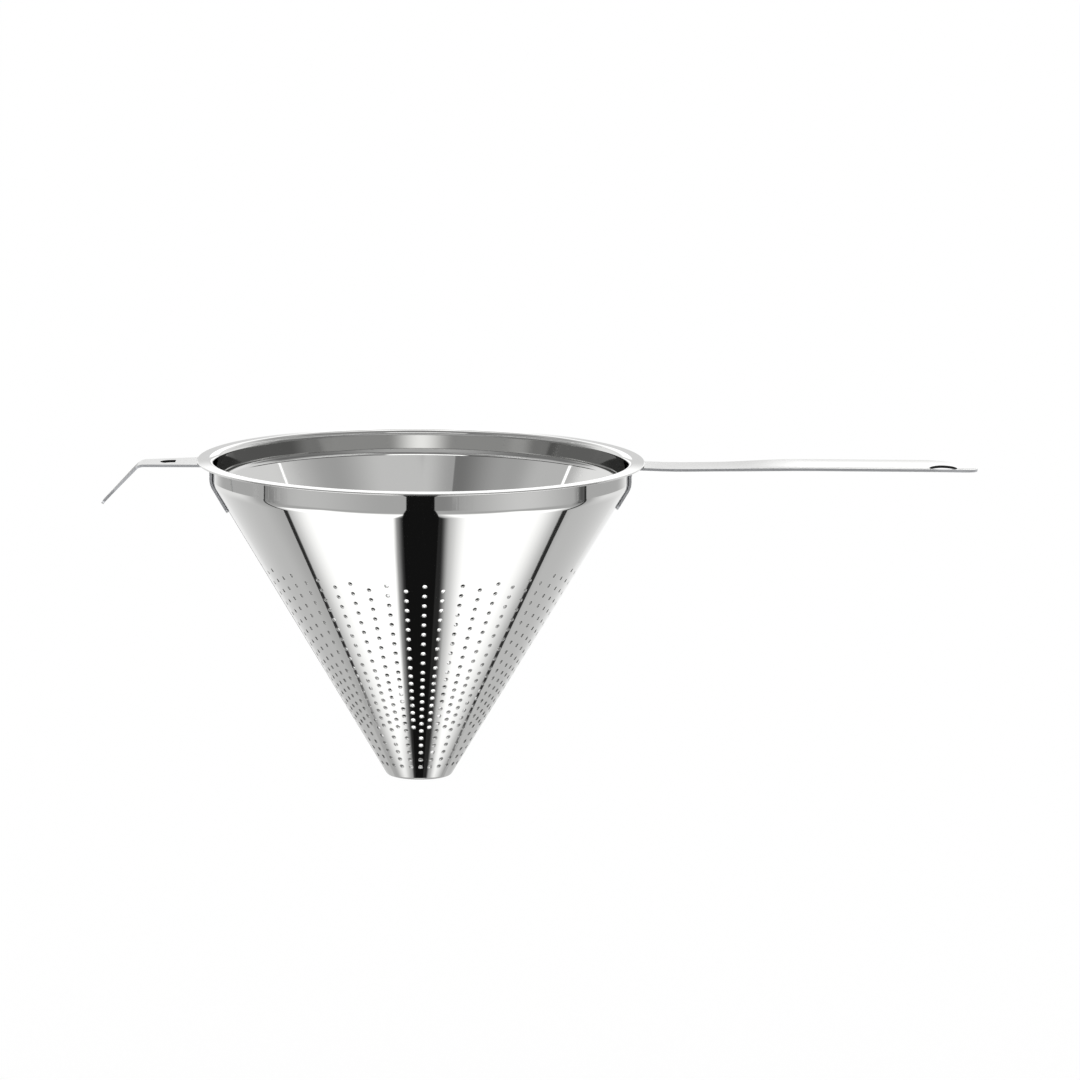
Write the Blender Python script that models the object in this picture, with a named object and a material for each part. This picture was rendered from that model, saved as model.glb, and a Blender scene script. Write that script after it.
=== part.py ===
"""Conical funnel strainer: a drawn and punched steel bowl with a flat handle and a pot hook.

The origin is the centre of the bowl's flat tip, +Z runs up the cone's axis and the handle points
along +X. All sizes are in metres.
"""

import math

import bmesh
import bpy
from mathutils import Matrix, Vector

TURN = 2.0 * math.pi
QUARTER_TURN = math.pi / 2.0

# Bowl: one sheet, drawn to a flange, a collar, a cone and a flat tip
DEPTH = 0.151
SHEET = 0.001
COLLAR_RADIUS = 0.0983
FLANGE_WIDTH = 0.0071
COLLAR_HEIGHT = 0.011
TIP_RADIUS = 0.0151
RIM_BEND = 0.0017
SHOULDER_BEND = 0.008
TIP_BEND = 0.0025
FLANGE_EDGE = 0.0003
BEND_STEPS = 2

# Perforation: columns of holes down the cone, long and short ones by turns
COLUMNS = 54
COLUMN_PHASE = math.radians(2.65)
HOLE_DIAMETER = 0.002
HOLE_SIDES = 4
LONG_COLUMN_HOLES = 23
SHORT_COLUMN_HOLES = 17
FIRST_HOLE = 0.0431
UPPER_ROWS = 9
UPPER_PITCH = 0.00583
LOWER_PITCH = 0.00454
# The solid carries every second hole of each column
HOLE_STEPS = 2
HOLE_LAND = 0.001

# Strips: handle and hook are cut from the same strip steel and spot-welded under the rim
STRIP = 0.0012
WELD_GAP = 0.0003
FLANGE_GAP = 0.0006
STRIP_BEND = 0.0032
STRIP_EDGE = 0.0002
LEG_CORNER = 0.0025
LEG_CORNER_STEPS = 3
WELD_DIAMETER = 0.0034
WELD_DEPTH = 0.0003
WELD_SIDES = 12

# Handle, with its distances from the flange's edge
HANDLE_LENGTH = 0.1568
NECK_WIDTH = 0.0222
TAPER_FROM = 0.0306
TAPER_TO = 0.0686
GRIP_WIDTH = 0.0296
GRIP_DISH = 0.0016
DISH_FROM = 0.0086
DISH_TO = 0.0846
GRIP_END_LENGTH = 0.025
HANDLE_DROOP = math.radians(1.8)
DROOP_LENGTH = 0.012
LEVELLING_LENGTH = 0.014
HANDLE_LEG = 0.0101
HANG_HOLE_DIAMETER = 0.0132
HANG_HOLE_INSET = 0.0162
HANG_HOLE_SIDES = 24

# Hook
HOOK_WIDTH = 0.025
HOOK_FLAT = 0.02445
HOOK_NECK_WIDTH = 0.0172
HOOK_DROOP = math.radians(1.5)
HOOK_BEND = 0.006
HOOK_ANGLE = math.radians(46.7)
HOOK_ARM = 0.0209
TONGUE_WIDTH = 0.011
TONGUE_TIP_WIDTH = 0.004
TONGUE_TAPER = 0.0155
CURL_LENGTH = 0.003
CURL_ANGLE = math.radians(12.0)
HOOK_LEG = 0.0135
HOOK_HOLE_OFFSET = 0.0102
HOOK_HOLE_LENGTH = 0.0072
HOOK_HOLE_WIDTH = 0.0092

# Values that follow from the sizes above
FLANGE_RADIUS = COLLAR_RADIUS + FLANGE_WIDTH
HANDLE_REACH = FLANGE_RADIUS + HANDLE_LENGTH
HALF_ANGLE = math.atan2(COLLAR_RADIUS - TIP_RADIUS, DEPTH - COLLAR_HEIGHT)
CORNER_HEIGHT = DEPTH - COLLAR_HEIGHT
SHOULDER_HEIGHT = CORNER_HEIGHT + SHOULDER_BEND * math.tan(HALF_ANGLE / 2.0)
STRIP_OFFSET = WELD_GAP + STRIP / 2.0
STRIP_HEIGHT = DEPTH - SHEET - FLANGE_GAP - STRIP / 2.0
# The legs are curved across to follow the bowl, as deep as this over the grip's width
LEG_DISH = (GRIP_WIDTH / 2.0) ** 2 / (2.0 * COLLAR_RADIUS)


def steel(name, colour, roughness):
    """A bare stainless steel."""
    material = bpy.data.materials.new(name)
    material.use_nodes = True
    shader = material.node_tree.nodes["Principled BSDF"]
    shader.inputs["Base Color"].default_value = (*colour, 1.0)
    shader.inputs["Metallic"].default_value = 1.0
    shader.inputs["Roughness"].default_value = roughness
    return material


def add_object(name, bm, material=None):
    """Turn a bmesh into a named object in the scene."""
    mesh = bpy.data.meshes.new(name)
    bm.to_mesh(mesh)
    bm.free()
    piece = bpy.data.objects.new(name, mesh)
    bpy.context.scene.collection.objects.link(piece)
    if material:
        mesh.materials.append(material)
        mesh.shade_smooth()
        mesh.set_sharp_from_angle(angle=math.radians(30.0))
    return piece


def cut(piece, cutter, label):
    """Take a hidden cutter out of a piece."""
    cutter.hide_render = True
    cutter.display_type = "WIRE"
    modifier = piece.modifiers.new(label, "BOOLEAN")
    modifier.operation = "DIFFERENCE"
    modifier.object = cutter


def ease(share):
    """Go from 0 to 1 without a corner at either end."""
    return (1.0 - math.cos(math.pi * min(max(share, 0.0), 1.0))) / 2.0


def arc(centre, radius, start, end, steps):
    """Points on an arc in the plane of the profile, both ends included."""
    points = []
    for step in range(steps + 1):
        angle = start + (end - start) * step / steps
        points.append(Vector((centre.x + radius * math.cos(angle), centre.y + radius * math.sin(angle))))
    return points


def bowl_profile():
    """The bowl's outer face as radius and height, from the flange's edge to the axis."""
    under_flange = DEPTH - SHEET
    rim_centre = Vector((COLLAR_RADIUS + RIM_BEND, under_flange - RIM_BEND))
    shoulder_centre = Vector((COLLAR_RADIUS - SHOULDER_BEND, SHOULDER_HEIGHT))
    tip_inset = TIP_BEND * (1.0 - math.sin(HALF_ANGLE)) / math.cos(HALF_ANGLE)
    tip_centre = Vector((TIP_RADIUS - tip_inset, TIP_BEND))
    profile = [Vector((FLANGE_RADIUS, under_flange))]
    profile += arc(rim_centre, RIM_BEND, QUARTER_TURN, 2.0 * QUARTER_TURN, BEND_STEPS)
    profile += arc(shoulder_centre, SHOULDER_BEND, 0.0, -HALF_ANGLE, BEND_STEPS)
    profile += arc(tip_centre, TIP_BEND, -HALF_ANGLE, -QUARTER_TURN, BEND_STEPS)
    profile.append(Vector((0.0, 0.0)))
    return profile


def hole_distances():
    """Distance down the slant of each row, counted in half rows, from the corner under the collar."""
    distances = {}
    for half_row in range(2 * LONG_COLUMN_HOLES):
        row = half_row / 2.0
        upper = min(row, UPPER_ROWS) * UPPER_PITCH
        lower = max(row - UPPER_ROWS, 0.0) * LOWER_PITCH
        distances[half_row] = FIRST_HOLE + upper + lower
    return distances


def column_rows(column):
    """The half rows that one column's holes sit on."""
    if column % 2 == 0:
        rows = range(0, 2 * LONG_COLUMN_HOLES, 2)
    else:
        rows = range(1, 2 * SHORT_COLUMN_HOLES, 2)
    return list(rows)[HOLE_STEPS - 1::HOLE_STEPS]


def punch_cutter():
    """Small prisms square to the cone, one for each hole of the solid."""
    bm = bmesh.new()
    slant = CORNER_HEIGHT / math.cos(HALF_ANGLE)
    # The facets of the spun cone lie a little inside its true radius
    facet = math.cos(TURN / COLUMNS / 2.0)
    # A prism with the hole's own area
    side_radius = HOLE_DIAMETER / 2.0 * math.sqrt(TURN / HOLE_SIDES / math.sin(TURN / HOLE_SIDES))
    distances = hole_distances()
    first = SHOULDER_BEND * math.tan(HALF_ANGLE / 2.0) + side_radius + HOLE_LAND
    last = slant - TIP_BEND - side_radius - HOLE_LAND
    for column in range(COLUMNS):
        azimuth = COLUMN_PHASE + TURN * (column + 0.5) / COLUMNS
        for half_row in column_rows(column):
            distance = distances[half_row]
            if not first < distance < last:
                continue
            radius = (COLLAR_RADIUS - distance * math.sin(HALF_ANGLE)) * facet
            height = CORNER_HEIGHT - distance * math.cos(HALF_ANGLE)
            place = (
                Matrix.Rotation(azimuth, 4, "Z")
                @ Matrix.Translation((radius, 0.0, height))
                @ Matrix.Rotation(QUARTER_TURN + HALF_ANGLE, 4, "Y")
            )
            bmesh.ops.create_cone(
                bm, cap_ends=True, segments=HOLE_SIDES, radius1=side_radius,
                radius2=side_radius, depth=4.0 * SHEET, matrix=place,
            )
    return add_object("hole_punches", bm)


def make_bowl(material):
    """Spin the profile, give it the sheet's thickness and punch the holes."""
    bm = bmesh.new()
    start = COLUMN_PHASE
    direction = Vector((math.cos(start), math.sin(start)))
    verts = [bm.verts.new((p.x * direction.x, p.x * direction.y, p.y)) for p in bowl_profile()]
    edges = [bm.edges.new(pair) for pair in zip(verts, verts[1:])]
    bmesh.ops.spin(
        bm, geom=verts + edges, cent=(0.0, 0.0, 0.0), axis=(0.0, 0.0, 1.0),
        angle=TURN, steps=COLUMNS, use_merge=True,
    )
    bmesh.ops.remove_doubles(bm, verts=bm.verts, dist=0.00001)
    bmesh.ops.recalc_face_normals(bm, faces=bm.faces)
    bowl = add_object("strainer_bowl", bm, material)
    wall = bowl.modifiers.new("sheet", "SOLIDIFY")
    wall.thickness = SHEET
    wall.offset = 1.0
    wall.use_even_offset = True
    rim = bowl.modifiers.new("flange_edge", "BEVEL")
    rim.width = FLANGE_EDGE
    rim.segments = 1
    rim.limit_method = "ANGLE"
    rim.angle_limit = math.radians(80.0)
    cut(bowl, punch_cutter(), "holes")
    return bowl


class SideLine:
    """The middle line of a bent strip in the XZ plane: straight runs and arcs, end to end."""

    def __init__(self, point, heading):
        self.starts = [(0.0, Vector(point), heading)]
        self.runs = []

    def run(self, length, turn=0.0):
        """Add a run that turns by an angle, upwards if positive for a line that heads along +X."""
        distance, point, heading = self.starts[-1]
        self.runs.append((length, turn))
        end, end_heading = self.follow(point, heading, length, turn, length)
        self.starts.append((distance + length, end, end_heading))

    @staticmethod
    def follow(point, heading, length, turn, distance):
        """Point and heading at a distance along one run."""
        new_heading = heading + turn * distance / length
        middle = (heading + new_heading) / 2.0
        half_turn = (new_heading - heading) / 2.0
        chord = distance * (math.sin(half_turn) / half_turn if half_turn else 1.0)
        return point + Vector((math.cos(middle), math.sin(middle))) * chord, new_heading

    def length(self):
        return self.starts[-1][0]

    def at(self, distance):
        """Point and heading at a distance along the whole line."""
        for (start, point, heading), (length, turn) in zip(self.starts, self.runs):
            if distance <= start + length:
                break
        return self.follow(point, heading, length, turn, distance - start)


def leg_line(leg_length, droop):
    """The line of a strip that climbs the cone and the collar and turns out under the flange.

    It is drawn for a strip on the +X side and starts at the leg's lower end.
    """
    up_the_cone = QUARTER_TURN - HALF_ANGLE
    shoulder_radius = SHOULDER_BEND + STRIP_OFFSET
    bend_radius = STRIP_BEND + STRIP / 2.0
    shoulder = Vector((COLLAR_RADIUS - SHOULDER_BEND, SHOULDER_HEIGHT))
    leg_top = shoulder + shoulder_radius * Vector((math.cos(HALF_ANGLE), -math.sin(HALF_ANGLE)))
    slant = Vector((math.cos(up_the_cone), math.sin(up_the_cone)))
    line = SideLine(leg_top - leg_length * slant, up_the_cone)
    line.run(leg_length)
    line.run(shoulder_radius * HALF_ANGLE, HALF_ANGLE)
    line.run(STRIP_HEIGHT - bend_radius - SHOULDER_HEIGHT)
    turn = QUARTER_TURN + droop
    line.run(bend_radius * turn, -turn)
    return line


def run_distances(line, steps):
    """Distances along a line at which its strip gets a cross-section, by steps in each run."""
    distances = []
    for (start, _, _), (length, _), count in zip(line.starts, line.runs, steps):
        distances += [start + length * step / count for step in range(1, count + 1)]
    return distances


def strip_object(name, line, sections, across, side, material):
    """Skin a strip over its cross-sections, given as distance, half width and dish.

    side is 1 for the handle's side of the bowl and -1 for the hook's.
    """
    bm = bmesh.new()
    rows = []
    for distance, half_width, dish in sections:
        point, heading = line.at(distance)
        outward = Vector((-math.sin(heading), math.cos(heading)))
        row = []
        for face in (STRIP / 2.0, -STRIP / 2.0):
            for step in range(across + 1):
                y = half_width * (2.0 * step / across - 1.0)
                lift = face + dish * (2.0 * y / GRIP_WIDTH) ** 2
                place = point + outward * lift
                row.append(bm.verts.new((side * place.x, y, place.y)))
            if face > 0.0:
                upper = row
                row = []
        rows.append(upper + row[::-1])
    count = len(rows[0])
    for row, following in zip(rows, rows[1:]):
        for index in range(count):
            after = (index + 1) % count
            bm.faces.new((row[index], row[after], following[after], following[index]))
    for row in (rows[0], rows[-1]):
        for step in range(across):
            bm.faces.new((row[step], row[step + 1], row[count - 2 - step], row[count - 1 - step]))
    bmesh.ops.remove_doubles(bm, verts=bm.verts, dist=0.000001)
    bmesh.ops.dissolve_degenerate(bm, edges=bm.edges, dist=0.000001)
    bmesh.ops.recalc_face_normals(bm, faces=bm.faces)
    return add_object(name, bm, material)


def prism_cutter(name, outline, depth, place):
    """A straight cutter with the given outline in its own XY plane."""
    bm = bmesh.new()
    base = bm.faces.new([bm.verts.new((p.x, p.y, -depth / 2.0)) for p in outline])
    grown = bmesh.ops.extrude_face_region(bm, geom=[base])
    lifted = [part for part in grown["geom"] if isinstance(part, bmesh.types.BMVert)]
    bmesh.ops.translate(bm, verts=lifted, vec=(0.0, 0.0, depth))
    bmesh.ops.recalc_face_normals(bm, faces=bm.faces)
    bm.transform(place)
    return add_object(name, bm)


def round_edges(piece):
    """Take the sharp edge off a cut strip."""
    bevel = piece.modifiers.new("deburred_edge", "BEVEL")
    bevel.width = STRIP_EDGE
    bevel.segments = 1
    bevel.limit_method = "ANGLE"
    bevel.angle_limit = math.radians(60.0)


def leg_end_sections(half_width):
    """Cross-sections that round the two corners at a leg's lower end."""
    sections = []
    for step in range(LEG_CORNER_STEPS):
        angle = QUARTER_TURN * step / LEG_CORNER_STEPS
        reach = LEG_CORNER * (1.0 - math.cos(angle))
        sections.append((reach, half_width - LEG_CORNER * (1.0 - math.sin(angle)), LEG_DISH))
    sections.append((LEG_CORNER, half_width, LEG_DISH))
    return sections


def leg_dish(line, distance):
    """The leg's curve across, which runs out in the bend under the flange."""
    bend_start, bend_length = line.starts[3][0], line.runs[3][0]
    return LEG_DISH * (1.0 - ease((distance - bend_start) / bend_length))


def weld_cutter(name, line, side):
    """The two round marks that spot welding leaves on a leg's outer face."""
    bm = bmesh.new()
    cone_start, collar_start = line.starts[0][0], line.starts[2][0]
    cone_run, collar_run = line.runs[0][0], line.runs[2][0]
    for distance in (cone_start + cone_run / 2.0, collar_start + collar_run / 2.0):
        point, heading = line.at(distance)
        outer = point - Vector((-math.sin(heading), math.cos(heading))) * STRIP / 2.0
        place = Matrix.Translation((side * outer.x, 0.0, outer.y)) @ Matrix.Rotation(side * -heading, 4, "Y")
        bmesh.ops.create_cone(
            bm, cap_ends=True, segments=WELD_SIDES, radius1=WELD_DIAMETER / 2.0,
            radius2=WELD_DIAMETER / 2.0, depth=2.0 * WELD_DEPTH, matrix=place,
        )
    return add_object(name, bm)


def handle_sections(line):
    """Cross-sections of the handle: leg, neck, taper, dished grip and round end."""
    flat_start, flat_point, _ = line.starts[4]
    offset = flat_start - flat_point.x + FLANGE_RADIUS
    grip_end = line.length() - GRIP_END_LENGTH
    distances = run_distances(line, (1, BEND_STEPS, 1, 2 * BEND_STEPS, 1, 2))
    distances += [offset + TAPER_FROM + (TAPER_TO - TAPER_FROM) * step / 5 for step in range(6)]
    distances += [offset + DISH_TO, grip_end]
    sections = leg_end_sections(NECK_WIDTH / 2.0)
    for distance in distances:
        reach = distance - offset
        width = NECK_WIDTH + (GRIP_WIDTH - NECK_WIDTH) * ease((reach - TAPER_FROM) / (TAPER_TO - TAPER_FROM))
        share = min(max((reach - DISH_FROM) / (DISH_TO - DISH_FROM), 0.0), 1.0)
        dish = leg_dish(line, distance) + GRIP_DISH * math.sin(QUARTER_TURN * share)
        sections.append((distance, width / 2.0, dish))
    for step in range(1, 9):
        angle = QUARTER_TURN * step / 8
        reach = GRIP_END_LENGTH * math.sin(angle)
        sections.append((grip_end + reach, GRIP_WIDTH / 2.0 * math.cos(angle), GRIP_DISH))
    return sections


def make_handle(material):
    """The long strip: welded leg, neck, dished grip and hang hole."""
    line = leg_line(HANDLE_LEG, HANDLE_DROOP)
    line.run(DROOP_LENGTH)
    line.run(LEVELLING_LENGTH, HANDLE_DROOP)
    line.run(HANDLE_REACH - line.starts[-1][1].x)
    handle = strip_object("handle", line, handle_sections(line), 6, 1.0, material)
    round_edges(handle)
    centre = Vector((0.0, 0.0))
    outline = arc(centre, HANG_HOLE_DIAMETER / 2.0, 0.0, TURN, HANG_HOLE_SIDES)[:-1]
    place = Matrix.Translation((HANDLE_REACH - HANG_HOLE_INSET, 0.0, STRIP_HEIGHT))
    cut(handle, prism_cutter("hang_hole_punch", outline, 8.0 * STRIP, place), "hang_hole")
    cut(handle, weld_cutter("handle_weld_marks", line, 1.0), "welds")
    return handle


def hook_sections(line):
    """Cross-sections of the hook: leg, flat, narrowing bend, tongue and round tip."""
    flat_start, bend_start, arm_start = line.starts[4][0], line.starts[5][0], line.starts[6][0]
    tip_start = line.length() - TONGUE_TIP_WIDTH / 2.0
    distances = run_distances(line, (1, BEND_STEPS, 1, 2 * BEND_STEPS, 2, 5, 3))
    distances += [line.starts[7][0] + (tip_start - line.starts[7][0]) * step / 2 for step in (1, 2)]
    sections = leg_end_sections(HOOK_WIDTH / 2.0)
    for distance in distances:
        flat_share = min(max((distance - flat_start) / (bend_start - flat_start), 0.0), 1.0)
        bend_share = ease((distance - bend_start) / (arm_start - bend_start))
        tongue_share = min(max((distance - arm_start) / TONGUE_TAPER, 0.0), 1.0)
        width = HOOK_WIDTH + (HOOK_NECK_WIDTH - HOOK_WIDTH) * flat_share
        width += (TONGUE_WIDTH - HOOK_NECK_WIDTH) * bend_share
        width += (TONGUE_TIP_WIDTH - TONGUE_WIDTH) * tongue_share
        sections.append((distance, width / 2.0, leg_dish(line, distance)))
    for step in range(1, 7):
        angle = QUARTER_TURN * step / 6
        reach = TONGUE_TIP_WIDTH / 2.0 * math.sin(angle)
        sections.append((tip_start + reach, TONGUE_TIP_WIDTH / 2.0 * math.cos(angle), 0.0))
    return sections


def make_hook(material):
    """The short strip: welded leg, flat with a D-shaped hole, and a tongue bent down."""
    line = leg_line(HOOK_LEG, HOOK_DROOP)
    flat_start = line.starts[-1][1].x
    turn = HOOK_ANGLE - HOOK_DROOP
    line.run((FLANGE_RADIUS + HOOK_FLAT - flat_start) / math.cos(HOOK_DROOP))
    line.run(HOOK_BEND * turn, -turn)
    line.run(HOOK_ARM)
    line.run(CURL_LENGTH, -CURL_ANGLE)
    hook = strip_object("hook", line, hook_sections(line), 4, -1.0, material)
    round_edges(hook)
    half = HOOK_HOLE_WIDTH / 2.0
    outline = [Vector((0.0, half)), Vector((0.0, -half))]
    outline += arc(Vector((HOOK_HOLE_LENGTH - half, 0.0)), half, -QUARTER_TURN, QUARTER_TURN, 12)
    place = (
        Matrix.Translation((-FLANGE_RADIUS - HOOK_HOLE_OFFSET, 0.0, STRIP_HEIGHT))
        @ Matrix.Rotation(math.pi, 4, "Z")
    )
    cut(hook, prism_cutter("hook_hole_punch", outline, 4.0 * STRIP, place), "hook_hole")
    cut(hook, weld_cutter("hook_weld_marks", line, -1.0), "welds")
    return hook


def main():
    for piece in list(bpy.data.objects):
        bpy.data.objects.remove(piece, do_unlink=True)
    make_bowl(steel("bowl_steel", (0.72, 0.72, 0.71), 0.16))
    make_handle(steel("handle_steel", (0.70, 0.70, 0.69), 0.24))
    make_hook(steel("hook_steel", (0.70, 0.70, 0.69), 0.26))


main()
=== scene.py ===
# %% [markdown]
# # A funnel strainer in polished steel
#
# The object is a conical strainer: one sheet of stainless steel that is drawn into a funnel and
# punched with small holes, and two bent strips that are spot-welded under its rim, a handle and a
# pot hook. The measured model is loaded first and is the fixed frame. Each piece here stands for
# one of its nodes, with the round holes, soft bends and finishes that the plain solids leave out.

# %% Load the measured model
import math

import bmesh
import bpy
from mathutils import Matrix, Vector


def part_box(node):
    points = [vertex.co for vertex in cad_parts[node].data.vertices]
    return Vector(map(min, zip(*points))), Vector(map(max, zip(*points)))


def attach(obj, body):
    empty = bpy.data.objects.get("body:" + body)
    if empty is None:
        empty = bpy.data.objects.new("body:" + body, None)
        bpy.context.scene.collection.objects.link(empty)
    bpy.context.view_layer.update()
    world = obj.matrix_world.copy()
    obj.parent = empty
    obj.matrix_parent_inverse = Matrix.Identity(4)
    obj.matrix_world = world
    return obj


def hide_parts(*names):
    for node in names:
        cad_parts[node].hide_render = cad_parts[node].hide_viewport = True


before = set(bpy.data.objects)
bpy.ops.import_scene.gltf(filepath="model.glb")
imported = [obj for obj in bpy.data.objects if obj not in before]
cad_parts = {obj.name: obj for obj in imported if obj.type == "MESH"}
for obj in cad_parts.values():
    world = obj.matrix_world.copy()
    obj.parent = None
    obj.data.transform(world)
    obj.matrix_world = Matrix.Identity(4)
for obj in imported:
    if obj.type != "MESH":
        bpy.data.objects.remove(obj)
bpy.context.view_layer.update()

# %% [markdown]
# ## Sizes
#
# A drawn bowl is fully described by its profile, so it takes few numbers: how wide the flange and
# the collar are, where the cone starts and ends, and the radius of each bend. They are written once,
# in metres; only the handle's reach is read from the frame, further down.

# %% Sizes of the bowl
TURN = 2.0 * math.pi
QUARTER_TURN = math.pi / 2.0

DEPTH = 0.151
SHEET = 0.001
FLANGE_RADIUS = 0.10535
COLLAR_RADIUS = 0.0983
COLLAR_HEIGHT = 0.011
TIP_RADIUS = 0.0151
RIM_BEND = 0.0017
SHOULDER_BEND = 0.008
TIP_BEND = 0.0025

HALF_ANGLE = math.atan2(COLLAR_RADIUS - TIP_RADIUS, DEPTH - COLLAR_HEIGHT)
CORNER_HEIGHT = DEPTH - COLLAR_HEIGHT
SLANT = CORNER_HEIGHT / math.cos(HALF_ANGLE)
SHOULDER_HEIGHT = CORNER_HEIGHT + SHOULDER_BEND * math.tan(HALF_ANGLE / 2.0)
print("half angle of the cone:", round(math.degrees(HALF_ANGLE), 2), "slant:", round(SLANT, 4))

# %% [markdown]
# ## The perforation
#
# The holes are punched in columns that run down the cone. Every other column is long and reaches
# the tip, and the ones between start half a row lower and stop early, where the cone gets too
# narrow. The rows are wide apart above and closer below. So a hole's place is just a column number
# and a half-row number, and one short function turns that into a distance down the slant.

# %% Where the rows and columns of holes lie
COLUMNS = 54
COLUMN_ANGLE = TURN / COLUMNS
COLUMN_PHASE = math.radians(2.65) + COLUMN_ANGLE / 2.0
HOLE_RADIUS = 0.001
LONG_HOLES = 23
SHORT_HOLES = 17
FIRST_HOLE = 0.0431
UPPER_ROWS = 9
UPPER_PITCH = 0.00583
LOWER_PITCH = 0.00454


def slant_of(half_row):
    """Distance down the slant, from the corner under the collar, of a place among the rows."""
    row = half_row / 2.0
    return FIRST_HOLE + UPPER_PITCH * min(row, UPPER_ROWS) + LOWER_PITCH * max(row - UPPER_ROWS, 0.0)


def hole_rows(column):
    """The half rows at which one column is punched."""
    if column % 2 == 0:
        return range(0, 2 * LONG_HOLES, 2)
    return range(1, 2 * SHORT_HOLES, 2)


HOLES = sum(len(hole_rows(column)) for column in range(COLUMNS))
print("holes:", HOLES)

# %% [markdown]
# ## Points on the sheet
#
# The mirror-like sheet shows every small error of shape, so the mesh isn't left to guess its
# shading. Each point is worked out together with the true direction of the surface there, on the
# outer and on the inner face, and those directions are given to the mesh at the end.

# %% A mesh that remembers the true surface direction of each point
class Skin:
    """Collects points with their surface directions, and the faces between them."""

    def __init__(self):
        self.places, self.normals, self.faces = [], [], []

    def point(self, place, normal):
        self.places.append(tuple(place))
        self.normals.append(tuple(normal))
        return len(self.places) - 1

    def face(self, *corners):
        self.faces.append(corners)

    def object(self, name):
        """Make the object, with the collected directions as its shading."""
        mesh = bpy.data.meshes.new(name)
        mesh.from_pydata(self.places, [], self.faces)
        mesh.validate()
        mesh.shade_smooth()
        mesh.normals_split_custom_set_from_vertices(self.normals)
        piece = bpy.data.objects.new(name, mesh)
        bpy.context.scene.collection.objects.link(piece)
        print(name, "has", len(mesh.polygons), "faces")
        return piece


def cone_place(azimuth, distance, depth):
    """A point in the cone's sheet, depth below its outer face, and the outward direction there."""
    outward = Vector((
        math.cos(HALF_ANGLE) * math.cos(azimuth),
        math.cos(HALF_ANGLE) * math.sin(azimuth),
        -math.sin(HALF_ANGLE),
    ))
    radius = COLLAR_RADIUS - distance * math.sin(HALF_ANGLE)
    place = Vector((
        radius * math.cos(azimuth),
        radius * math.sin(azimuth),
        CORNER_HEIGHT - distance * math.cos(HALF_ANGLE),
    ))
    return place - depth * outward, outward


# %% [markdown]
# ## The punched zone
#
# Cutting a thousand holes with a Boolean leaves long thin triangles that spoil the reflections. It
# is cleaner to lay the zone out as cells, one for each hole: a ring of quads leads from the round
# hole to the cell's straight border, and the borders of neighbouring cells share their points.
# Where a column has no hole, its cells are plain quads.

# %% Lay out the cells of one face of the sheet
CELL_STEPS = 4
ZONE_TOP = -2
ZONE_END = 2 * LONG_HOLES - 1
EDGE_ROLL = 0.00012
HALF_ROLL = 0.3 * EDGE_ROLL
HALF_ROLL_TILT = math.radians(40.0)
WALL_TILT = math.radians(85.0)


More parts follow.
